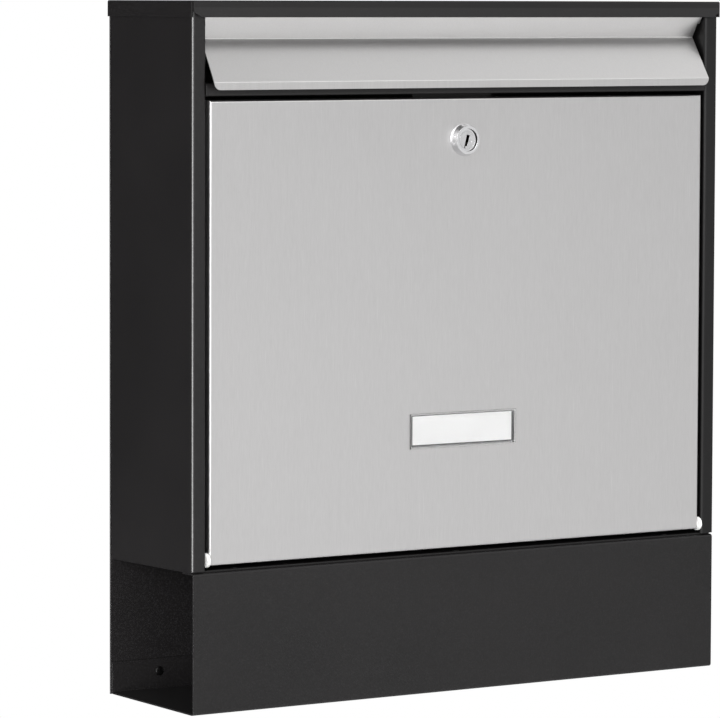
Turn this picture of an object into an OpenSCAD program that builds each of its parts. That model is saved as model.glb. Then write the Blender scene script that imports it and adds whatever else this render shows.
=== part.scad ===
// Wall mounted mailbox with a newspaper compartment, a letter flap and a locking door.
// Millimetres. +Z is up, +Y points into the wall, +X is to the right as seen from the front.
// The origin is the centre of the four wall screws, on the back face.

/* [Housing] */
// Width of the housing over its side panels
body_w = 400; // [380:1:420]
// Height over everything
body_h = 430; // [425:1:450]
// Depth from the wall to the front frame
body_d = 94.5; // [90:0.5:105]
// Thickness of the painted steel sheet
sheet = 1; // [0.8:0.1:1.2]
// Width of the frame's flange at each side of the door
flange_w = 10; // [9:0.5:12]
// Height of the newspaper compartment
trough_h = 86.2; // [80:0.1:88]
// How much the compartment's bottom rises towards the wall, so that water runs off
trough_rise = 2.2; // [0:0.1:4]
// Height of the cover's edge
cover_edge = 9.9; // [8:0.1:11]
// Underside of the crossbar, below the top
crossbar_drop = 57.2; // [56:0.1:60]
// Height of the crossbar's front
crossbar_h = 7.7; // [7:0.1:9]

/* [Door] */
// Gap between the door and each side flange
door_side_gap = 2.6; // [2.4:0.1:4]
// Gap between the door and the newspaper compartment
door_bottom_gap = 3.9; // [3.6:0.1:6]
// Gap between the door and the crossbar
door_top_gap = 2.4; // [2:0.1:5]
// Depth of the door's folded edges
door_depth = 13; // [10:0.5:13]
// Diameter of the nylon hinge discs
hinge_disc_d = 8.7; // [8:0.1:9.5]
// Hinge axis behind the door's front
hinge_setback = 2.75; // [2.5:0.05:3.5]
// Hinge axis above the door's bottom edge
hinge_rise = 3.4; // [3.2:0.1:4]

/* [Letter flap] */
// Thickness of the stainless flap
flap_sheet = 0.8; // [0.6:0.1:1]
// Flap hinge axis behind the front frame
flap_setback = 3.2; // [3:0.1:4]
// Flap hinge axis below the top
flap_drop = 5.85; // [5.8:0.05:6.2]
// Length of the strip that leans inward
strip_len = 18.3; // [17:0.1:19]
// Lean of that strip
strip_lean = 31; // [26:1:32]
// Length of the leg that leans outward
leg_len = 30.7; // [28:0.1:31]
// Lean of that leg
leg_lean = 32; // [30:0.5:34]
// Height of the upright lip
lip_len = 4.5; // [4:0.1:5]

/* [Lock and name plate] */
// Lock axis below the door's top edge
lock_drop = 26.2; // [24:0.1:34]
// Diameter of the lock's head
lock_head_d = 20.2; // [20:0.1:24]
// How far the lock's head stands out
lock_head_h = 4.2; // [3.2:0.1:4.6]
// Diameter of the turning plug
plug_d = 11.4; // [10:0.1:12]
// Lean of the keyway from upright
key_lean = 15; // [0:1:20]
// Reach of the cam from the lock axis
cam_reach = 32; // [30:0.5:33]
// Width of the name window
name_w = 80.6; // [70:0.1:90]
// Height of the name window
name_h = 22; // [20:0.1:26]
// Centre of the name window above the door's bottom edge
name_rise = 74.1; // [60:0.1:100]

/* [Wall screws] */
// Distance between the screw holes across
screw_x = 300; // [200:5:330]
// Distance between the screw holes upwards
screw_z = 210; // [150:5:215]
// Diameter of the screw holes
screw_d = 6.5; // [5:0.5:8]
// Height of the screw pattern's centre above the bottom
screw_centre = 235; // [230:1:240]

/* [Hidden] */

PAINT = "#2b2b2d";
STAINLESS = "#b9b9b8";
CHROME = "#d8dadd";
ZINC = "#a4a6a8";
NYLON = "#ecece8";
BLACK = "#151516";
$fn = 64;
eps = 0.02;              // overlap that makes a cut clean
bend_steps = 6;          // flats along each bend
half_w = body_w / 2;
front = -body_d;         // the front frame's plane
bottom = -screw_centre;
top = bottom + body_h;

// The sheet bodies
trough_top = bottom + trough_h;
floor_top = trough_top + sheet;
side_return = 12;        // depth of the fold behind each flange
back_fold = 14;          // width of the fold against the back panel
side_bend = 1.4;         // bend radius of a side panel, at the sheet's middle
trough_end_gap = 0.9;    // how much shorter the newspaper compartment is at each end
trough_fold_h = 22;      // height of its fold against the back panel
floor_setback = 3;       // front edge of the compartment floor behind the frame
floor_fold_h = 10;

// The cover
cover_gap = 0.2;         // between the cover and the side panels
cover_bottom = top - cover_edge;
skirt_lead = 0.6;        // how far the side skirts stand in front of the frame
lip_half = half_w - 0.2;
lip_slot = 0.4;          // open corner between the front lip and a skirt
lip_root = 2.4;          // where the lip leaves the top sheet, behind the frame
lip_band = 4.1;          // height of the lip's upright band
lip_flare = 1.6;         // how far the lip leans out below that band
lip_corner_w = 4.9;      // the lip's clipped lower corners
lip_corner_h = 3;

// The crossbar
crossbar_bottom = top - crossbar_drop;
crossbar_top = crossbar_bottom + crossbar_h;
crossbar_tab_x = half_w - flange_w;
tab_y = front + 3;       // front edge of the tabs riveted to the side panels
tab_d = 5.6;
strike_gap = 0.4;        // running clearance of the door and the cam from the strike
strike_y = front + door_depth + strike_gap + sheet / 2;
strike_bottom = crossbar_bottom - 6.8;
strike_half = 30;        // half the width of the tongue that the cam grips

// Rivets
rivet_r = 1.6;
rivet_head_r = 3;
rivet_head_h = 1;
rivet_tail_r = 2.4;
rivet_tail_h = 0.8;
floor_rivet_x = [-165, 0, 165];
floor_rivet_y = front + 8;
trough_rivet_x = [-165, 0, 165];
trough_rivet_z = bottom + 14;
crossbar_rivet_y = front + 5.8;
crossbar_rivet_z = crossbar_bottom + 3.9;

// The door
door_half = half_w - flange_w - door_side_gap;
door_bottom = trough_top + door_bottom_gap;
door_top = crossbar_bottom - door_top_gap;
door_bend = 1.6;         // outer radius of the door's edges
door_seam = 0.5;         // open seam between the folded edges at each corner
hinge_y = front + hinge_setback;
hinge_z = door_bottom + hinge_rise;
hinge_pin_r = 1.5;
fit_gap = 0.05;          // running clearance of every turning joint
seat_gap = 0.02;         // clearance of a fixed piece in its hole
bushing_hub_r = 2.5;
head_face = front + 2;   // peened pin and rod heads keep behind this plane, clear of the flange
head_t = 1.2;            // thickness of those heads

// The flap
flap_y = front + flap_setback;
flap_z = top - flap_drop;
rod_r = 2;
roll_r = rod_r + fit_gap + flap_sheet;
flap_half = half_w - flange_w - 1.7;
strip_half = flap_half - 0.9;
ear_half = half_w - flange_w - 1;
ear_bottom = top - 14.1;
flap_corner = 4.5;       // radius of the lip's lower corners
flap_bend = 1;           // bend radius of the flap, at the sheet's middle
buffer_x = 150;
buffer_r = 2.1;
buffer_stem_r = 1.2;
buffer_round = 0.8;
buffer_z = crossbar_top - 2.3;
buffer_clear = 0.3;      // between the buffers and the hanging flap

// Middle line of the flap's sheet, from its roll round the rod down to the lip
strip_start = [flap_y, flap_z] - (roll_r - flap_sheet / 2) * [cos(strip_lean), sin(strip_lean)];
crease = strip_start + strip_len * [sin(strip_lean), -cos(strip_lean)];
knee = crease - leg_len * [sin(leg_lean), cos(leg_lean)];
lip_end = knee - [0, lip_len];
buffer_reach = front - knee.x - flap_sheet / 2 - buffer_clear;

// The lock
lock_z = door_top - lock_drop;
rim_r = lock_head_d / 2;
rim_wall = 1;            // height of the head's straight wall, below its bevel
crown_r = 8.7;           // outer radius of the flat ring on the head's front
recess_r = 7.1;          // the head's recess round the plug
recess_depth = 1.2;
recess_face = recess_depth - lock_head_h;   // the recess's floor, backward from the door's front
barrel_r = 8;
plug_r = plug_d / 2;
plug_face = recess_face - 0.15;
plug_head_t = 1.5;       // the plug's wide head, which keeps it from sliding back
plug_step = 0.7;
notch_w = 0.7;           // width of the index marks
cam_y = strike_y + sheet / 2 + strike_gap;
cam_t = 2;
barrel_end = cam_y - front - 0.8;
washer_r = 11;
washer_t = 0.8;
nut_r = 12;
nut_h = 4;
tail = 6;                // side of the square tail that carries the cam
tail_screw_r = 1.7;
tail_screw_len = 4;      // how far the cam screw reaches into the plug

// The name plate
name_z = door_bottom + name_rise;
window_t = 1;            // thickness of the clear plate
window_gap = 0.05;       // between the plate and the door or card behind it
window_border = 1;       // from the plate's edge to the rim that passes through the door
name_rim = 0.6;          // wall of that rim
rim_depth = 2.6;         // how far it reaches behind the door's front
card_t = 0.3;
card_w = 75.8;
card_h = 17.8;
holder_t = 1.4;          // thickness of the holder's plate
pad_gap = 0.1;           // between the holder's pad and the rim

function arc(centre, r, from, to, steps = bend_steps) =
    [for (i = [0 : steps]) let (a = from + (to - from) * i / steps) centre + r * [cos(a), sin(a)]];
function unit(v) = v / norm(v);
function left_of(v) = [-v.y, v.x];
function turned(v, a) = [v.x * cos(a) - v.y * sin(a), v.x * sin(a) + v.y * cos(a)];
function reversed(list) = [for (i = [len(list) - 1 : -1 : 0]) list[i]];

// One face of a bent sheet: path is the sheet's middle line, r its bend radius, s the offset to the left
function sheet_face(path, r, s) = [
    for (i = [0 : len(path) - 1])
        let (
            before = max(i, 1),
            after = min(i, len(path) - 2),
            u = unit(path[before] - path[before - 1]),
            v = unit(path[after + 1] - path[after]),
            bend = atan2(u.x * v.y - u.y * v.x, u * v),
            side = sign(bend),
            centre = path[i] - r * tan(abs(bend) / 2) * u + side * r * left_of(u)
        )
        each (side == 0
            ? [path[i] + s * left_of(u)]
            : [for (k = [0 : bend_steps])
                centre - side * (r - s * side) * turned(left_of(u), bend * k / bend_steps)])];
function bent_outline(path, r, t) = concat(sheet_face(path, r, t / 2), reversed(sheet_face(path, r, -t / 2)));

// A (Y, Z) outline drawn out along X
module along_x(x0, x1)
    translate([x0, 0, 0]) rotate([90, 0, 90]) linear_extrude(x1 - x0) children();

// An (X, Z) outline drawn out along Y
module along_y(y0, y1)
    translate([0, y1, 0]) rotate([90, 0, 0]) linear_extrude(y1 - y0) children();

// An (X, Y) outline drawn out along Z
module along_z(z0, z1)
    translate([0, 0, z0]) linear_extrude(z1 - z0) children();

module rod_x(x0, x1, r, y, z)
    translate([x0, y, z]) rotate([0, 90, 0]) cylinder(h = x1 - x0, r = r);

module rod_y(y0, y1, r, x, z)
    translate([x, y0, z]) rotate([-90, 0, 0]) cylinder(h = y1 - y0, r = r);

module both_sides() {
    children();
    mirror([1, 0, 0]) children();
}

module back_panel() color(PAINT) difference() {
    translate([-half_w, -sheet, bottom + trough_rise])
        cube([body_w, sheet, body_h - sheet - trough_rise]);
    for (x = [-1, 1], z = [-1, 1])
        rod_y(-sheet - 1, 1, screw_d / 2, x * screw_x / 2, z * screw_z / 2);
    for (x = trough_rivet_x)
        rod_y(-sheet - 1, 1, rivet_r, x, trough_rivet_z);
}

// A side with its front flange and folds, drilled for the hinge rod, hinge pin and crossbar rivet
module side_panel() difference() {
    fold_x = half_w - flange_w;
    along_z(floor_top, top - sheet) polygon(bent_outline([
        [half_w - back_fold, -1.5 * sheet],
        [half_w - sheet / 2, -1.5 * sheet],
        [half_w - sheet / 2, front + sheet / 2],
        [fold_x + sheet / 2, front + sheet / 2],
        [fold_x + sheet / 2, front + side_return]], side_bend, sheet));
    rod_x(fold_x - 1, fold_x + 3, rod_r, flap_y, flap_z);
    rod_x(fold_x - 1, fold_x + 3, hinge_pin_r, hinge_y, hinge_z);
    rod_x(fold_x - 1, fold_x + 3, rivet_r, crossbar_rivet_y, crossbar_rivet_z);
}

module left_side_panel() color(PAINT) mirror([1, 0, 0]) side_panel();

module right_side_panel() color(PAINT) side_panel();

// Top sheet with a skirt at each side and a flared lip in front; the front corners stay open
module top_cover() {
    skirt_x = half_w + cover_gap + sheet / 2;
    lip_y = front - cover_gap - sheet / 2;
    middle_z = top - sheet / 2;
    bend = cover_gap + sheet / 2;
    open_half = lip_half + lip_slot;
    color(PAINT) difference() {
        union() {
            difference() {
                along_y(front - skirt_lead, 0) polygon(bent_outline([
                    [-skirt_x, cover_bottom], [-skirt_x, middle_z],
                    [skirt_x, middle_z], [skirt_x, cover_bottom]], bend, sheet));
                translate([-open_half, front - 1, cover_bottom - 1])
                    cube([2 * open_half, 1 + lip_root, cover_edge + 2]);
            }
            along_x(-lip_half, lip_half) polygon(bent_outline([
                [front + lip_root, middle_z],
                [lip_y, middle_z],
                [lip_y, top - lip_band],
                [lip_y - lip_flare, cover_bottom]], bend, sheet));
        }
        both_sides() along_y(front - 10, front + 1) polygon([
            [lip_half - lip_corner_w, cover_bottom],
            [lip_half - lip_corner_w, cover_bottom - 1],
            [lip_half + eps, cover_bottom - 1],
            [lip_half + eps, cover_bottom + lip_corner_h]]);
    }
}

// The mail compartment's floor, folded up at its sides and back
module compartment_floor() {
    plate_y = front + floor_setback;
    fold_y = front + side_return + sheet;
    fold_end = -2 * sheet - side_bend;   // clear of the side panels' rear bends
    color(PAINT) difference() {
        union() {
            translate([-half_w + sheet, plate_y, trough_top])
                cube([body_w - 2 * sheet, -sheet - plate_y, sheet]);
            both_sides() translate([half_w - 2 * sheet, fold_y, trough_top])
                cube([sheet, fold_end - fold_y, floor_fold_h]);
            translate([-half_w + back_fold + sheet, -2 * sheet, trough_top])
                cube([body_w - 2 * back_fold - 2 * sheet, sheet, floor_fold_h]);
        }
        for (x = floor_rivet_x)
            translate([x, floor_rivet_y, trough_top - 1]) cylinder(h = sheet + 2, r = rivet_r);
    }
}

// Front, bottom and rear fold of the newspaper compartment, open at both ends
module newspaper_trough() color(PAINT) difference() {
    along_x(-half_w + trough_end_gap, half_w - trough_end_gap) polygon(bent_outline([
        [front + side_return, trough_top - sheet / 2],
        [front + sheet / 2, trough_top - sheet / 2],
        [front + sheet / 2, bottom + sheet / 2],
        [-1.5 * sheet, bottom + trough_rise + sheet / 2],
        [-1.5 * sheet, bottom + trough_fold_h]], 1.3, sheet));
    for (x = floor_rivet_x)
        translate([x, floor_rivet_y, trough_top - sheet - 1]) cylinder(h = sheet + 2, r = rivet_r);
    for (x = trough_rivet_x)
        rod_y(-2 * sheet - 1, 1, rivet_r, x, trough_rivet_z);
}

// The rail under the letter slot: a front strip, a sill, and a rear drop with a tongue for the cam
module front_crossbar() color(PAINT) difference() {
    union() {
        along_x(-crossbar_tab_x, crossbar_tab_x) polygon(bent_outline([
            [front + 9, crossbar_bottom + sheet / 2],
            [front + sheet / 2, crossbar_bottom + sheet / 2],
            [front + sheet / 2, crossbar_top - sheet / 2],
            [strike_y, crossbar_top],
            [strike_y, crossbar_bottom]], 1.2, sheet));
        translate([-strike_half, strike_y - sheet / 2, strike_bottom])
            cube([2 * strike_half, sheet, crossbar_bottom + 1 - strike_bottom]);
        both_sides() translate([crossbar_tab_x - sheet, tab_y, crossbar_bottom + sheet / 2])
            cube([sheet, tab_d, crossbar_h - sheet]);
    }
    both_sides() rod_x(crossbar_tab_x - sheet - 1, crossbar_tab_x + 1, rivet_r,
        crossbar_rivet_y, crossbar_rivet_z);
    for (x = [-buffer_x, buffer_x])
        rod_y(front - 1, front + sheet + 1, buffer_stem_r, x, buffer_z);
}

// A rivet along Z from its head's underside at 0 down through a stack of sheets
module rivet(stack, tail_head = true) rotate_extrude() polygon(concat(
    [[0, rivet_head_h]],
    [for (a = [75 : -15 : 0]) [rivet_head_r * cos(a), rivet_head_h * sin(a)]],
    [[rivet_r, 0], [rivet_r, -stack]],
    tail_head
        ? [[rivet_tail_r, -stack], [rivet_tail_r, -stack - rivet_tail_h], [0, -stack - rivet_tail_h]]
        : [[0, -stack]]));

module crossbar_rivets() color(PAINT) both_sides()
    translate([crossbar_tab_x - sheet, crossbar_rivet_y, crossbar_rivet_z])
        rotate([0, -90, 0]) rivet(2 * sheet);

module floor_rivets() color(PAINT) for (x = floor_rivet_x)
    translate([x, floor_rivet_y, floor_top]) rivet(2 * sheet);

module trough_rivets() color(PAINT) for (x = trough_rivet_x)
    translate([x, -2 * sheet, trough_rivet_z]) rotate([90, 0, 0]) rivet(2 * sheet, tail_head = false);

// End of a pin or rod, peened over inside the side panel's fold and flat towards its flange
module peened_head(r, y, z) intersection() {
    head_x = half_w - flange_w + sheet;
    rod_x(head_x, head_x + head_t, r, y, z);
    translate([head_x - 1, head_face, z - r - 1]) cube([head_t + 2, 2 * r, 2 * r + 2]);
}

module flap_hinge_rod() {
    rod_end = half_w - flange_w + sheet;
    color(ZINC) {
        rod_x(-rod_end, rod_end, rod_r, flap_y, flap_z);
        both_sides() peened_head(rod_r + 1.2, flap_y, flap_z);
    }
}

// Rubber buttons on the crossbar that the flap's lip rests against
module flap_buffers() color(BLACK) for (x = [-buffer_x, buffer_x])
    translate([x, front, buffer_z]) rotate([90, 0, 0]) rotate_extrude() polygon(concat(
        [[0, buffer_reach]],
        arc([buffer_r - buffer_round, buffer_reach - buffer_round], buffer_round, 90, 0),
        [[buffer_r, 0], [buffer_stem_r, 0], [buffer_stem_r, -sheet], [0, -sheet]]));

module door_hinge_pins() {
    pin_end = half_w - flange_w + sheet;
    color(ZINC) both_sides() {
        rod_x(pin_end - sheet - door_side_gap - 4, pin_end, hinge_pin_r, hinge_y, hinge_z);
        peened_head(hinge_pin_r + 1.3, hinge_y, hinge_z);
    }
}

// The door's form, t inside its outer faces, with rounded front edges
module door_form(t, back_y) {
    r = door_bend - t;
    intersection() {
        along_z(door_bottom + t, door_top - t) polygon(concat(
            [[door_half - t, back_y]],
            arc([door_half - door_bend, front + door_bend], r, 0, -90),
            arc([-door_half + door_bend, front + door_bend], r, -90, -180),
            [[-door_half + t, back_y]]));
        along_x(-door_half - 1, door_half + 1) polygon(concat(
            [[back_y, door_bottom + t]],
            arc([front + door_bend, door_bottom + door_bend], r, -90, -180),
            arc([front + door_bend, door_top - door_bend], r, 180, 90),
            [[back_y, door_top - t]]));
    }
}

module door_panel() {
    seam_y = front + 2.5;
    window_edge = window_border - pad_gap;   // from the plate's edge to the cut-out behind it
    color(STAINLESS) difference() {
        door_form(0, front + door_depth);
        door_form(sheet, front + door_depth + 1);
        for (x = [-1, 1], z = [door_bottom - 1, door_top - sheet - 1])
            translate([x * (door_half - sheet - door_seam / 2) - door_seam / 2, seam_y, z])
                cube([door_seam, door_depth, sheet + 2]);
        both_sides() rod_x(door_half - 3, door_half + 1, bushing_hub_r + seat_gap, hinge_y, hinge_z);
        rod_y(front - 1, front + 3, barrel_r + seat_gap, 0, lock_z);
        translate([-name_w / 2 + window_edge, front - 1, name_z - name_h / 2 + window_edge])
            cube([name_w - 2 * window_edge, 3, name_h - 2 * window_edge]);
    }
}

// White nylon bushing: a disc in the side gap and a hub through the door's edge
module hinge_bushing() difference() {
    union() {
        rod_x(door_half, half_w - flange_w - 0.3, hinge_disc_d / 2, hinge_y, hinge_z);
        rod_x(door_half - sheet - 1, door_half, bushing_hub_r, hinge_y, hinge_z);
    }
    rod_x(door_half - 5, half_w, hinge_pin_r + fit_gap, hinge_y, hinge_z);
}

module left_hinge_bushing() color(NYLON) mirror([1, 0, 0]) hinge_bushing();

module right_hinge_bushing() color(NYLON) hinge_bushing();

// Ring on the lock's axis, drawn as (radius, depth behind the door's front) and turned about Y
module lock_ring(outline) translate([0, front, lock_z]) rotate([-90, 0, 0]) rotate_extrude() polygon(outline);

// A small index notch, size long, out from the lock's axis by reach, at an angle clockwise from +X
module index_notch(reach, size, y0, y1, angle)
    translate([0, front + y0, lock_z]) rotate([0, angle, 0])
        translate([reach, 0, -notch_w / 2]) cube([size, y1 - y0, notch_w]);

// Bevelled head with a recess for the plug, and the barrel behind it
module lock_housing() color(CHROME) difference() {
    lock_ring([
        [plug_r + fit_gap, recess_face],
        [recess_r, recess_face],
        [recess_r, -lock_head_h + 0.1],
        [recess_r + 0.1, -lock_head_h],
        [crown_r, -lock_head_h],
        [rim_r - 0.1, -rim_wall],
        [rim_r, 0.15 - rim_wall],
        [rim_r, 0],
        [barrel_r, 0],
        [barrel_r, barrel_end],
        [plug_r - plug_step + fit_gap, barrel_end],
        [plug_r - plug_step + fit_gap, plug_face + plug_head_t + fit_gap],
        [plug_r + fit_gap, plug_face + plug_head_t + fit_gap]]);
    index_notch(crown_r, 2, -2.9, -1.4, 180 + key_lean);
}

module lock_washer() color(ZINC) lock_ring([
    [barrel_r + seat_gap, sheet], [washer_r, sheet],
    [washer_r, sheet + washer_t], [barrel_r + seat_gap, sheet + washer_t]]);

module lock_nut() color(ZINC) difference() {
    translate([0, front + sheet + washer_t, lock_z]) rotate([-90, 0, 0])
        cylinder(h = nut_h, r = nut_r, $fn = 6);
    rod_y(front, front + door_depth, barrel_r + seat_gap, 0, lock_z);
}

// Plug with a head in the recess, its leaning keyway, and a square tail behind
module lock_plug() {
    key_top = 3.2;       // ends of the keyway above and below the axis
    key_bottom = 5.2;
    key_depth = 9;
    ward_z = -1.2;       // the keyway is wide above this height
    color(CHROME) difference() {
        union() {
            rod_y(front + plug_face, front + plug_face + plug_head_t, plug_r, 0, lock_z);
            rod_y(front + plug_face, cam_y, plug_r - plug_step, 0, lock_z);
            translate([-tail / 2, cam_y - eps, lock_z - tail / 2]) cube([tail, cam_t + eps, tail]);
        }
        translate([0, front + plug_face - 1, lock_z]) rotate([0, key_lean, 0]) {
            translate([-1.1, 0, ward_z]) cube([2.2, key_depth, key_top - ward_z]);
            translate([-1.1, 0, -key_bottom]) cube([0.9, key_depth, key_bottom]);
            translate([-0.6, 0, -3.8]) cube([1.5, 1.9, 3.8]);
        }
        index_notch(1.9, 1.7, plug_face - 1, plug_face + 0.3, key_lean + 2);
        rod_y(cam_y - tail_screw_len, cam_y + cam_t + 1, tail_screw_r, 0, lock_z);
    }
}

// Flat cam, shown turned aside as when unlocked
module lock_cam() {
    hub_r = 7.5;
    arm_w = 11;
    tip_r = 2;           // radius of the tip's corners
    tip_x = cam_reach - tip_r;
    color(ZINC) difference() {
        union() {
            rod_y(cam_y, cam_y + cam_t, hub_r, 0, lock_z);
            translate([0, cam_y, lock_z - arm_w / 2]) cube([tip_x, cam_t, arm_w]);
            for (z = [-1, 1])
                rod_y(cam_y, cam_y + cam_t, tip_r, tip_x, lock_z + z * (arm_w / 2 - tip_r));
            translate([tip_x - 1, cam_y, lock_z - arm_w / 2 + tip_r])
                cube([tip_r + 1, cam_t, arm_w - 2 * tip_r]);
        }
        translate([-tail / 2, cam_y - 1, lock_z - tail / 2]) cube([tail, cam_t + 2, tail]);
    }
}

// Cross-head screw with a flange, holding the cam on the plug's tail
module cam_screw() {
    head_y = cam_y + cam_t;
    color(ZINC) difference() {
        union() {
            rod_y(cam_y - tail_screw_len, head_y, tail_screw_r, 0, lock_z);
            rod_y(head_y, head_y + 0.8, 5, 0, lock_z);
            rod_y(head_y, head_y + 2.8, 3.5, 0, lock_z);
        }
        for (turn = [0, 90])
            translate([0, head_y + 1.6, lock_z]) rotate([0, turn, 0])
                translate([-2, 0, -0.45]) cube([4, 2, 0.9]);
    }
}

// Clear window on the door's front, with a rear rim that reaches through the door
module name_window() {
    plate_y = front - window_gap;
    rim_w = name_w - 2 * window_border;
    rim_h = name_h - 2 * window_border;
    color([0.9, 0.93, 0.95, 0.4]) {
        translate([-name_w / 2, plate_y - window_t, name_z - name_h / 2]) cube([name_w, window_t, name_h]);
        difference() {
            translate([-rim_w / 2, plate_y - eps, name_z - rim_h / 2])
                cube([rim_w, window_gap + eps + rim_depth, rim_h]);
            translate([-rim_w / 2 + name_rim, plate_y, name_z - rim_h / 2 + name_rim])
                cube([rim_w - 2 * name_rim, rim_depth + 1, rim_h - 2 * name_rim]);
        }
    }
}

// Blank card, pushed to the upper left of the window
module name_card() {
    inset = window_border + name_rim;
    color("white") translate([-name_w / 2 + inset, front, name_z + name_h / 2 - inset - card_h])
        cube([card_w, card_t, card_h]);
}

// Black holder behind the door, whose pad presses the card to the window
module name_card_holder() {
    pad_w = name_w - 2 * (window_border + name_rim + pad_gap);
    pad_h = name_h - 2 * (window_border + name_rim + pad_gap);
    color(BLACK) {
        translate([-name_w / 2, front + rim_depth, name_z - name_h / 2]) cube([name_w, holder_t, name_h]);
        translate([-pad_w / 2, front + card_t, name_z - pad_h / 2])
            cube([pad_w, rim_depth - card_t + eps, pad_h]);
    }
}

// Half of the flap's outline seen from the front, with an ear beside the roll
function flap_half_outline() = concat(
    [[0, top - 1], [ear_half, top - 1], [ear_half, ear_bottom], [strip_half, ear_bottom],
    [strip_half, crease.y]],
    arc([flap_half - flap_corner, lip_end.y + flap_corner], flap_corner, 0, -90),
    [[0, lip_end.y]]);

// Stainless flap rolled round its rod: a strip leaning in, a leg leaning out and an upright lip
module letter_flap() color(STAINLESS) {
    intersection() {
        along_x(-ear_half, ear_half)
            polygon(bent_outline([strip_start, crease, knee, lip_end], flap_bend, flap_sheet));
        both_sides() along_y(front - 20, front + 20) polygon(flap_half_outline());
    }
    difference() {
        rod_x(-ear_half, ear_half, roll_r, flap_y, flap_z);
        rod_x(-half_w, half_w, rod_r + fit_gap, flap_y, flap_z);
        // the mouth of the roll, below its rod on the inner side
        translate([-half_w, flap_y, flap_z]) rotate([-strip_lean, 0, 0])
            translate([0, 0.6, -2 * roll_r]) cube([body_w, roll_r, 2 * roll_r - 0.8]);
    }
}

back_panel();
left_side_panel();
right_side_panel();
top_cover();
compartment_floor();
newspaper_trough();
front_crossbar();
crossbar_rivets();
floor_rivets();
trough_rivets();
flap_hinge_rod();
flap_buffers();
door_hinge_pins();
door_panel();
left_hinge_bushing();
right_hinge_bushing();
lock_housing();
lock_washer();
lock_nut();
name_window();
name_card();
name_card_holder();
lock_plug();
lock_cam();
cam_screw();
letter_flap();
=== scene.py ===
"""Looks of the wall mounted mailbox: materials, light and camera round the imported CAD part."""

import math

import bpy
from mathutils import Matrix, Vector


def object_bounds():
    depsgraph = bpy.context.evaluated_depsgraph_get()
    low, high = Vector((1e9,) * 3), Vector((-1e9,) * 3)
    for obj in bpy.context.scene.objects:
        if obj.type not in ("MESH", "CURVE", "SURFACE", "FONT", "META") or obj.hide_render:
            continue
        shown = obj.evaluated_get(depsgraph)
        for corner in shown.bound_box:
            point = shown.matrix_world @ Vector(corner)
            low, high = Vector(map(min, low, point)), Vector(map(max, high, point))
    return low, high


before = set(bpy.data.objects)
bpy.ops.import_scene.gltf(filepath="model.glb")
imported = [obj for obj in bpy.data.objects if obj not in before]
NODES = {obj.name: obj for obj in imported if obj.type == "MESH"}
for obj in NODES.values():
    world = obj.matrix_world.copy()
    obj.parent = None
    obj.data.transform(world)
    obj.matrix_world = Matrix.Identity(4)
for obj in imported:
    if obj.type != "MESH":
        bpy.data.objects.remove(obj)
cad_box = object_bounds()
PART_LOW, PART_HIGH = cad_box

MM = 0.001
LOCK_CENTRE = (0, 0, 109.2 * MM)
HEAD_FACE = -98.7 * MM       # Y of the lock head's front
PLUG_FACE = -97.65 * MM      # Y of the plug's face


# ---------------------------------------------------------------- material helpers


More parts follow.
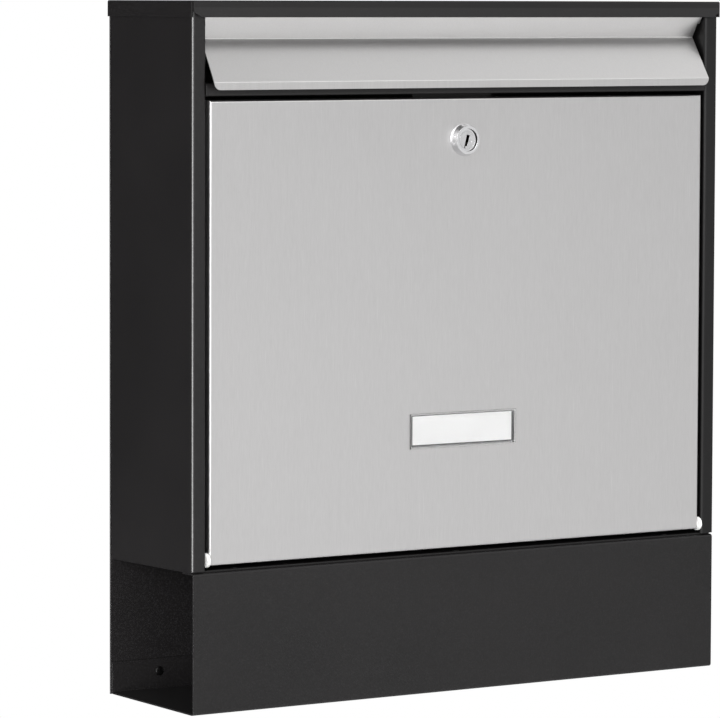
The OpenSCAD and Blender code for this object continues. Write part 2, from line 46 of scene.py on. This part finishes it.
class Shader:
    """A material with a Principled shader, and short calls to build its nodes."""

    def __init__(self, name):
        self.material = bpy.data.materials.new(name)
        self.material.use_nodes = True
        self.tree = self.material.node_tree
        self.shader = next(n for n in self.tree.nodes if n.type == "BSDF_PRINCIPLED")

    def set(self, **values):
        """Sets the shader's own sockets, named in lower case with underscores."""
        for name, value in values.items():
            label = "IOR" if name == "ior" else name.replace("_", " ").title()
            self.shader.inputs[label].default_value = value

    def node(self, kind, **settings):
        made = self.tree.nodes.new(kind)
        for key, value in settings.items():
            setattr(made, key, value)
        return made

    def link(self, source, target):
        self.tree.links.new(source, target)

    def place(self, scale):
        """Object coordinates in metres, stretched by scale."""
        coords = self.node("ShaderNodeTexCoord")
        mapping = self.node("ShaderNodeMapping")
        mapping.inputs["Scale"].default_value = scale
        self.link(coords.outputs["Object"], mapping.inputs["Vector"])
        return mapping.outputs["Vector"]

    def noise(self, scale, stretch=(1, 1, 1), detail=3.0, rough=0.5):
        """Noise with about scale times stretch grains to the metre along X, Y and Z."""
        tex = self.node("ShaderNodeTexNoise")
        tex.inputs["Scale"].default_value = scale
        tex.inputs["Detail"].default_value = detail
        tex.inputs["Roughness"].default_value = rough
        self.link(self.place(stretch), tex.inputs["Vector"])
        return tex.outputs["Fac"]

    def band(self, value, low, high, source=(0.3, 0.7)):
        """Maps value from the source range to low..high."""
        mapped = self.node("ShaderNodeMapRange")
        mapped.inputs["From Min"].default_value = source[0]
        mapped.inputs["From Max"].default_value = source[1]
        mapped.inputs["To Min"].default_value = low
        mapped.inputs["To Max"].default_value = high
        self.link(value, mapped.inputs["Value"])
        return mapped.outputs["Result"]

    def mix(self, factor, first, second):
        """Blends two colours, each a tuple or another node's output."""
        blend = self.node("ShaderNodeMix", data_type="RGBA")
        self.link(factor, blend.inputs["Factor"])
        for socket, colour in (("A", first), ("B", second)):
            target = [i for i in blend.inputs if i.name == socket and i.type == "RGBA"][0]
            if isinstance(colour, tuple):
                target.default_value = (*colour, 1)
            else:
                self.link(colour, target)
        return [o for o in blend.outputs if o.type == "RGBA"][0]

    def add(self, first, second, weight=1.0):
        """First plus weight times second."""
        total = self.node("ShaderNodeMath", operation="MULTIPLY_ADD")
        self.link(second, total.inputs[0])
        total.inputs[1].default_value = weight
        self.link(first, total.inputs[2])
        return total.outputs["Value"]

    def multiply(self, first, second):
        product = self.node("ShaderNodeMath", operation="MULTIPLY")
        self.link(first, product.inputs[0])
        self.link(second, product.inputs[1])
        return product.outputs["Value"]

    def about_lock(self):
        """Direction round the lock's axis, distance from the axis, and place along Y."""
        coords = self.node("ShaderNodeTexCoord")
        split = self.node("ShaderNodeSeparateXYZ")
        self.link(coords.outputs["Object"], split.inputs[0])
        outward = self.node("ShaderNodeVectorMath", operation="SUBTRACT")
        self.link(coords.outputs["Object"], outward.inputs[0])
        outward.inputs[1].default_value = LOCK_CENTRE
        around = self.node("ShaderNodeVectorMath", operation="CROSS_PRODUCT")
        around.inputs[0].default_value = (0, 1, 0)
        self.link(outward.outputs["Vector"], around.inputs[1])
        radius = self.node("ShaderNodeVectorMath", operation="LENGTH")
        self.link(around.outputs["Vector"], radius.inputs[0])
        return around.outputs["Vector"], radius.outputs["Value"], split.outputs["Y"]

    def bump(self, height, distance, strength=1.0):
        made = self.node("ShaderNodeBump")
        made.inputs["Strength"].default_value = strength
        made.inputs["Distance"].default_value = distance
        self.link(height, made.inputs["Height"])
        self.link(made.outputs["Normal"], self.shader.inputs["Normal"])

    def colour(self, socket):
        self.link(socket, self.shader.inputs["Base Color"])

    def roughness(self, socket):
        self.link(socket, self.shader.inputs["Roughness"])


# ---------------------------------------------------------------- materials


def powder_coat():
    """Dark powder coat: a tight orange peel, fine paler specks and a soft uneven sheen."""
    m = Shader("powder_coat")
    m.set(ior=1.38)
    cloud = m.noise(9, detail=3)
    speck = m.noise(1400, detail=1)
    tone = m.mix(m.band(cloud, 0, 1), (0.0018, 0.0016, 0.0017), (0.0026, 0.0023, 0.0024))
    m.colour(m.mix(m.band(speck, 0, 0.35, (0.5, 0.8)), tone, (0.014, 0.0135, 0.014)))
    m.roughness(m.add(m.band(cloud, 0.355, 0.40), m.band(speck, 0, 0.04)))
    peel = m.noise(620, detail=2, rough=0.55)
    m.bump(m.add(peel, speck, 0.3), 0.05 * MM, 0.55)
    return m.material


def brushed_steel(name, dark, light, rough):
    """Satin stainless with a fine upright grain: many thin streaks, a few longer scratches."""
    m = Shader(name)
    m.set(metallic=1.0, anisotropic=0.55)
    across = m.node("ShaderNodeCombineXYZ")
    across.inputs["X"].default_value = 1.0
    m.link(across.outputs["Vector"], m.shader.inputs["Tangent"])
    fine = m.noise(1, stretch=(2400, 2400, 130), detail=4, rough=0.62)
    streak = m.noise(1, stretch=(700, 700, 22), detail=3, rough=0.6)
    scratch = m.noise(1, stretch=(1500, 1500, 40), detail=1)
    cloud = m.noise(5, detail=2)
    mixed = m.add(m.band(fine, 0, 0.75), m.band(streak, 0, 0.25))
    tone = m.mix(mixed, dark, light)
    m.colour(m.mix(m.band(scratch, 0, 0.25, (0.70, 0.82)), tone, (0.80, 0.80, 0.79)))
    m.roughness(m.add(m.add(m.band(fine, rough - 0.03, rough + 0.03), m.band(streak, -0.01, 0.01)),
                      m.band(cloud, -0.015, 0.015)))
    m.bump(m.add(fine, streak, 0.25), 0.010 * MM, 0.25)
    return m.material


def bright_zinc():
    """Zinc plating: blurred reflections under a faint blotchy haze."""
    m = Shader("bright_zinc")
    m.set(metallic=1.0)
    haze = m.noise(120, detail=3)
    grain = m.noise(1500, detail=2)
    m.colour(m.mix(m.band(haze, 0, 1), (0.50, 0.51, 0.53), (0.60, 0.60, 0.58)))
    m.roughness(m.add(m.band(haze, 0.24, 0.375), m.band(grain, 0, 0.02)))
    m.bump(grain, 0.006 * MM, 0.25)
    return m.material


def turned_chrome():
    """Chrome plug face turned on a lathe, with painted shade: the keyway below the face is
    coloured near black.
    """
    m = Shader("turned_chrome")
    m.set(metallic=1.0, anisotropic=0.75)
    round_lock, _, depth = m.about_lock()
    along = m.node("ShaderNodeVectorMath", operation="NORMALIZE")
    m.link(round_lock, along.inputs[0])
    m.link(along.outputs["Vector"], m.shader.inputs["Tangent"])
    # painted shade: all that lies deeper than the plug's face, the keyway, turns near black and
    # rougher
    keyway_shade = m.band(depth, 0, 1, (PLUG_FACE + 0.2 * MM, PLUG_FACE + 0.9 * MM))
    haze = m.noise(300, detail=3)
    face = m.mix(m.band(haze, 0, 1), (0.66, 0.66, 0.67), (0.74, 0.74, 0.75))
    m.colour(m.mix(keyway_shade, face, (0.012, 0.011, 0.010)))
    m.roughness(m.add(m.band(haze, 0.20, 0.26), m.band(keyway_shade, 0, 0.35, (0, 1))))
    return m.material


def lock_chrome():
    """Bright chrome with painted shade: the sides of the recess round the plug are coloured near
    black.
    """
    m = Shader("lock_chrome")
    m.set(metallic=1.0)
    _, radius, depth = m.about_lock()
    below = m.band(depth, 0, 1, (HEAD_FACE + 0.15 * MM, HEAD_FACE + 0.25 * MM))
    outward = m.band(radius, 0, 1, (6.90 * MM, 7.00 * MM))
    within = m.band(radius, 1, 0, (7.25 * MM, 7.35 * MM))
    # painted shade: the sides of the recess round the plug turn near black and rougher
    recess_shade = m.multiply(m.multiply(below, outward), within)
    haze = m.noise(120, detail=3)
    bright = m.mix(m.band(haze, 0, 1), (0.78, 0.78, 0.79), (0.83, 0.83, 0.84))
    m.colour(m.mix(recess_shade, bright, (0.015, 0.014, 0.014)))
    m.roughness(m.add(m.band(haze, 0.06, 0.09), m.band(recess_shade, 0, 0.4, (0, 1))))
    return m.material


def moulded(name, dark, light, rough, soft=0.0):
    """Moulded plastic or rubber with a fine spark-eroded texture."""
    m = Shader(name)
    m.set(ior=1.48)
    if soft:
        m.set(subsurface_weight=soft, subsurface_scale=1.0,
              subsurface_radius=(1.2 * MM, 1.1 * MM, 1.0 * MM))
    cloud = m.noise(160, detail=2)
    grain = m.noise(2600, detail=2)
    m.colour(m.mix(m.band(cloud, 0, 1), dark, light))
    m.roughness(m.add(m.band(cloud, rough - 0.04, rough + 0.04), m.band(grain, 0, 0.03)))
    m.bump(grain, 0.02 * MM, 0.5)
    return m.material


def clear_acrylic():
    """Glossy clear acrylic with faint handling haze."""
    m = Shader("clear_acrylic")
    m.set(ior=1.49, base_color=(0.99, 0.99, 0.99, 1), transmission_weight=1.0)
    haze = m.noise(220, detail=3)
    m.roughness(m.band(haze, 0.015, 0.05))
    return m.material


def card_paper():
    """Plain white card stock with faint fibres."""
    m = Shader("card_paper")
    fibre = m.noise(1, stretch=(900, 900, 2600), detail=4, rough=0.65)
    cloud = m.noise(90, detail=2)
    blend = m.band(m.add(m.band(fibre, 0, 0.5), m.band(cloud, 0, 0.5)), 0, 1, (0, 1))
    m.colour(m.mix(blend, (0.94, 0.94, 0.935), (0.985, 0.985, 0.985)))
    m.roughness(m.band(fibre, 0.62, 0.78))
    m.bump(fibre, 0.015 * MM, 0.4)
    return m.material


def dress(material, width, *names):
    """Puts a material on CAD nodes, joins their flat faces and rounds their edges by width."""
    for name in names:
        piece = NODES[name]
        piece.data.materials.clear()
        piece.data.materials.append(material)
        for face in piece.data.polygons:
            face.use_smooth = True
        weld = piece.modifiers.new("weld", "WELD")
        weld.merge_threshold = 0.002 * MM
        flats = piece.modifiers.new("joined flats", "DECIMATE")
        flats.decimate_type = "DISSOLVE"
        flats.angle_limit = math.radians(0.3)
        if width:
            edge = piece.modifiers.new("soft edges", "BEVEL")
            edge.width = width
            edge.segments = 2
            edge.limit_method = "ANGLE"
            edge.angle_limit = math.radians(35)
        normals = piece.modifiers.new("normals", "WEIGHTED_NORMAL")
        normals.weight = 80


# the painted sheets of the housing
PAINTED = ("back_panel", "left_side_panel", "right_side_panel", "top_cover",
           "compartment_floor", "newspaper_trough", "front_crossbar")


def dress_all():
    paint = powder_coat()
    dress(paint, 0.3 * MM, *PAINTED)
    dress(paint, 0.15 * MM, "crossbar_rivets", "floor_rivets", "trough_rivets")
    dress(brushed_steel("door_stainless", (0.565, 0.558, 0.558), (0.625, 0.618, 0.618), 0.34),
          0.25 * MM, "door_panel")
    dress(brushed_steel("flap_stainless", (0.59, 0.583, 0.58), (0.65, 0.643, 0.64), 0.32),
          0.2 * MM, "letter_flap")
    dress(lock_chrome(), 0.12 * MM, "lock_housing")
    dress(turned_chrome(), 0.08 * MM, "lock_plug")
    dress(bright_zinc(), 0.15 * MM,
          "flap_hinge_rod", "door_hinge_pins", "lock_washer", "lock_nut", "lock_cam", "cam_screw")
    dress(moulded("white_nylon", (0.80, 0.80, 0.785), (0.86, 0.86, 0.85), 0.42, soft=0.2),
          0.3 * MM, "left_hinge_bushing", "right_hinge_bushing")
    dress(moulded("buffer_rubber", (0.017, 0.017, 0.018), (0.026, 0.026, 0.026), 0.72),
          0.1 * MM, "flap_buffers")
    dress(moulded("holder_plastic", (0.014, 0.014, 0.015), (0.021, 0.021, 0.022), 0.5),
          0.2 * MM, "name_card_holder")
    dress(clear_acrylic(), 0.35 * MM, "name_window")
    dress(card_paper(), 0, "name_card")


# ---------------------------------------------------------------- stage, light and camera


FLOOR_DROP = 1.0             # metres from the mailbox down to the floor
FLOOR_REACH = 5.0            # metres, the floor's radius
FLOOR_SIDES = 64


def plain_floor():
    """A large round floor in pale matt grey."""
    z = PART_LOW.z - FLOOR_DROP
    ring = [(FLOOR_REACH * math.cos(a), FLOOR_REACH * math.sin(a), z)
            for a in (2 * math.pi * i / FLOOR_SIDES for i in range(FLOOR_SIDES))]
    mesh = bpy.data.meshes.new("floor")
    mesh.from_pydata(ring, [], [tuple(range(FLOOR_SIDES))])
    floor = bpy.data.objects.new("floor", mesh)
    bpy.context.scene.collection.objects.link(floor)
    m = Shader("pale_floor")
    m.set(roughness=0.8)
    m.colour(m.mix(m.band(m.noise(3), 0, 1), (0.80, 0.80, 0.80), (0.84, 0.84, 0.84)))
    mesh.materials.append(m.material)


def softbox(name, place, aim, size, power):
    """A white oblong lamp that faces aim: size in metres, power in watts."""
    lamp = bpy.data.lights.new(name, "AREA")
    lamp.shape = "RECTANGLE"
    lamp.size, lamp.size_y = size
    lamp.energy = power
    made = bpy.data.objects.new(name, lamp)
    made.location = place
    made.rotation_euler = (Vector(aim) - Vector(place)).to_track_quat("-Z", "Y").to_euler()
    bpy.context.scene.collection.objects.link(made)
    return made


# Brightness of the surroundings by direction: the direction, the range of its cosine and the
# brightness at the two ends of that range.
BRIGHT_SIDE = ((0.62, -0.78, 0.0), (-0.30, 0.65), (0.05, 0.99))
FRONT_PEAK = ((0.20, -0.98, 0.0), (0.76, 0.98), (0.50, 1.05))
GLOW = ((-0.45, -0.80, 0.40), (0.78, 1.0), (0.0, 3.9))
# Brightness by height: the range of Z and the brightness at its two ends.
LOW_LIGHT = ((-0.30, 0.10), (1.60, 0.62))
HIGH_LIGHT = ((0.10, 0.50), (1.0, 3.9))
DARK_TOP = ((0.55, 0.95), (1.0, 0.04))


def world_light():
    """Surroundings that are bright at the front and dim at the back left. They are weakest just
    above the horizon and straight overhead, and one more glow stands high at the front left."""
    world = bpy.data.worlds.new("studio")
    world.use_nodes = True
    bpy.context.scene.world = world
    tree = world.node_tree

    def node(kind, **settings):
        made = tree.nodes.new(kind)
        for key, value in settings.items():
            setattr(made, key, value)
        return made

    def spread(value, source, target):
        made = node("ShaderNodeMapRange", interpolation_type="SMOOTHSTEP")
        for name, number in zip(("From Min", "From Max", "To Min", "To Max"), (*source, *target)):
            made.inputs[name].default_value = number
        tree.links.new(value, made.inputs["Value"])
        return made.outputs["Result"]

    def combine(operation, first, second):
        made = node("ShaderNodeMath", operation=operation)
        tree.links.new(first, made.inputs[0])
        tree.links.new(second, made.inputs[1])
        return made.outputs["Value"]

    def facing(direction, source, target):
        towards = node("ShaderNodeVectorMath", operation="DOT_PRODUCT")
        towards.inputs[1].default_value = Vector(direction).normalized()
        tree.links.new(coords, towards.inputs[0])
        return spread(towards.outputs["Value"], source, target)

    coords = node("ShaderNodeTexCoord").outputs["Generated"]
    split = node("ShaderNodeSeparateXYZ")
    tree.links.new(coords, split.inputs[0])
    z = split.outputs["Z"]
    light = next(n for n in tree.nodes if n.type == "BACKGROUND")
    light.inputs["Color"].default_value = (1, 1, 1, 1)
    base = facing(*BRIGHT_SIDE)
    for factor in (spread(z, *LOW_LIGHT), spread(z, *HIGH_LIGHT), spread(z, *DARK_TOP),
                   facing(*FRONT_PEAK)):
        base = combine("MULTIPLY", base, factor)
    tree.links.new(combine("ADD", base, facing(*GLOW)), light.inputs["Strength"])
    # the camera itself sees plain white behind the part
    backdrop = node("ShaderNodeBackground")
    backdrop.inputs["Color"].default_value = (1, 1, 1, 1)
    choose = node("ShaderNodeMixShader")
    tree.links.new(node("ShaderNodeLightPath").outputs["Is Camera Ray"], choose.inputs["Fac"])
    tree.links.new(light.outputs["Background"], choose.inputs[1])
    tree.links.new(backdrop.outputs["Background"], choose.inputs[2])
    output = next(n for n in tree.nodes if n.type == "OUTPUT_WORLD")
    tree.links.new(choose.outputs["Shader"], output.inputs["Surface"])


FLOOR_LAMP = (1.15, -1.25, 1.3)
FLOOR_LAMP_AIM = (1.15, -1.25, -1.0)     # straight down
FLOOR_LAMP_SPREAD = math.radians(80)
LEFT_LAMP = (-2.46, -1.77, 0.0)          # shared by a strong edge lamp and a weak fill
LEFT_LAMP_SIZE = (0.45, 2.4)
TOP_LAMP = (-0.85, 0.45, 1.9)
EDGE_LIT = [name for name in (*PAINTED, "name_card") if name != "right_side_panel"]


def studio():
    """The surroundings and the lamps. The left edge lamp lights only what EDGE_LIT names."""
    world_light()
    centre = (PART_LOW + PART_HIGH) / 2
    wash = softbox("floor wash", FLOOR_LAMP, FLOOR_LAMP_AIM, (1.6, 1.6), 10)
    wash.data.spread = FLOOR_LAMP_SPREAD
    edge = softbox("left edge", LEFT_LAMP, centre, LEFT_LAMP_SIZE, 370)
    lit = bpy.data.collections.new("lit by the left edge")
    for name in EDGE_LIT:
        lit.objects.link(NODES[name])
    edge.light_linking.receiver_collection = lit
    softbox("left fill", LEFT_LAMP, centre, LEFT_LAMP_SIZE, 22)
    softbox("overhead", TOP_LAMP, centre, (1.1, 1.0), 9)


CAMERA_AIM = Vector((-78 * MM, -94.5 * MM, -24 * MM))
CAMERA_TURN = math.radians(-34.5)
CAMERA_RISE = math.radians(4.35)
CAMERA_ROLL = math.radians(0.19)
CAMERA_REACH = 2.943         # metres from the camera to its aim
CAMERA_LENS = 239.95         # millimetres, on a sensor SENSOR_WIDTH wide
SENSOR_WIDTH = 36


def camera():
    """A long lens from the front left, slightly above."""
    lens = bpy.data.cameras.new("camera")
    lens.lens = CAMERA_LENS
    lens.sensor_width = SENSOR_WIDTH
    made = bpy.data.objects.new("camera", lens)
    back = Vector((math.sin(CAMERA_TURN) * math.cos(CAMERA_RISE),
                   -math.cos(CAMERA_TURN) * math.cos(CAMERA_RISE),
                   math.sin(CAMERA_RISE)))
    made.location = CAMERA_AIM + back * CAMERA_REACH
    turn = (-back).to_track_quat("-Z", "Y").to_matrix().to_4x4()
    turn.translation = made.location
    made.matrix_world = turn @ Matrix.Rotation(CAMERA_ROLL, 4, "Z")
    bpy.context.scene.collection.objects.link(made)
    bpy.context.scene.camera = made


dress_all()
plain_floor()
studio()
camera()

scene = bpy.context.scene
scene.view_settings.view_transform = "Standard"
